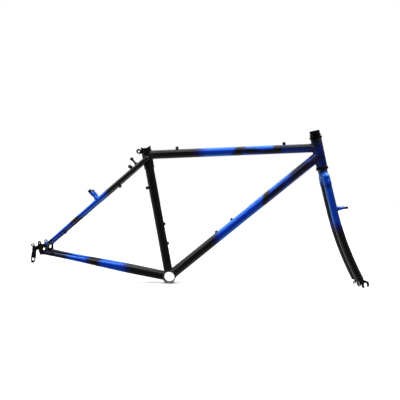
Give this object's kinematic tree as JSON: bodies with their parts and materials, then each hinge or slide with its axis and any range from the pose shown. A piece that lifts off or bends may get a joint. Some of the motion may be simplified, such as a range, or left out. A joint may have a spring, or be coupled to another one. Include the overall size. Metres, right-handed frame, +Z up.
{
  "type": "bicycle frame",
  "caption": "Steel bicycle frameset: brazed diamond frame, threaded headset and turning rigid fork, standing on its bottom bracket shell and fork ends.",
  "frame": {"origin": "middle of the frameset's box, on the floor it stands on", "axes": "+X forward, from the rear dropouts to the fork; +Y to the rider's left; +Z up"},
  "size_m": [1.0818, 0.147, 0.5066],
  "materials": {
    "black_clear_coat": "gloss black with clear coat",
    "blue_fade_clear_coat": "gloss black and bright blue fade under clear coat",
    "black_steel": "gloss black headset steel",
    "bare_steel": "turned steel"
  },
  "bodies": {
    "frame": {"bottom_bracket_shell": "black_clear_coat", "brake_cable_hanger": "black_clear_coat", "chainstay_bridge": "black_clear_coat", "chainstay_left": "blue_fade_clear_coat", "chainstay_right": "blue_fade_clear_coat", "down_tube": "blue_fade_clear_coat", "downtube_bottle_boss_lower": "black_clear_coat", "downtube_bottle_boss_upper": "black_clear_coat", "downtube_bottle_screw_lower": "black_steel", "downtube_bottle_screw_upper": "black_steel", "head_tube": "blue_fade_clear_coat", "lower_head_cup": "black_steel", "rack_eyelet_left": "black_clear_coat", "rack_eyelet_right": "black_clear_coat", "rear_brake_stud_left": "blue_fade_clear_coat", "rear_brake_stud_right": "blue_fade_clear_coat", "rear_dropout_left": "black_clear_coat", "rear_dropout_right": "black_clear_coat", "seat_lug": "black_clear_coat", "seat_tube": "black_clear_coat", "seatstay_bridge": "black_clear_coat", "seatstay_cable_stop_lower": "black_clear_coat", "seatstay_cable_stop_upper": "black_clear_coat", "seatstay_left": "blue_fade_clear_coat", "seatstay_right": "blue_fade_clear_coat", "seattube_bottle_boss_lower": "black_clear_coat", "seattube_bottle_boss_upper": "black_clear_coat", "seattube_bottle_screw_lower": "black_steel", "seattube_bottle_screw_upper": "black_steel", "seattube_cable_stop": "black_clear_coat", "top_tube": "blue_fade_clear_coat", "toptube_cable_stop_front": "black_clear_coat", "toptube_cable_stop_rear": "black_clear_coat", "upper_head_cup": "black_steel"},
    "fork": {"steerer_tube": "bare_steel", "fork_crown": "blue_fade_clear_coat", "fork_blade_left": "blue_fade_clear_coat", "fork_blade_right": "blue_fade_clear_coat", "fork_dropout_left": "black_clear_coat", "fork_dropout_right": "black_clear_coat", "front_brake_stud_left": "blue_fade_clear_coat", "front_brake_stud_right": "blue_fade_clear_coat", "crown_race": "bare_steel", "adjusting_race": "black_steel", "keyed_washer": "black_steel", "locknut": "black_steel"},
    "lower_balls": {"lower_ball_retainer": "bare_steel"},
    "upper_balls": {"upper_ball_retainer": "bare_steel"}
  },
  "joints": [
    {"name": "steering", "type": "hinge", "parent": "frame", "child": "fork", "pos_m": [0.39003, 0, 0.37685], "axis": [-0.2229, 0, 0.9748], "continuous": true},
    {"name": "lower_ball_roll", "type": "hinge", "parent": "frame", "child": "lower_balls", "pos_m": [0.38862, 0, 0.38299], "axis": [-0.2229, 0, 0.9748], "continuous": true},
    {"name": "upper_ball_roll", "type": "hinge", "parent": "frame", "child": "upper_balls", "pos_m": [0.36595, 0, 0.48213], "axis": [-0.2229, 0, 0.9748], "continuous": true}
  ],
  "couplings": [
    {"joint": "lower_ball_roll", "follows": "steering", "ratio": 0.5},
    {"joint": "upper_ball_roll", "follows": "steering", "ratio": 0.5}
  ]
}
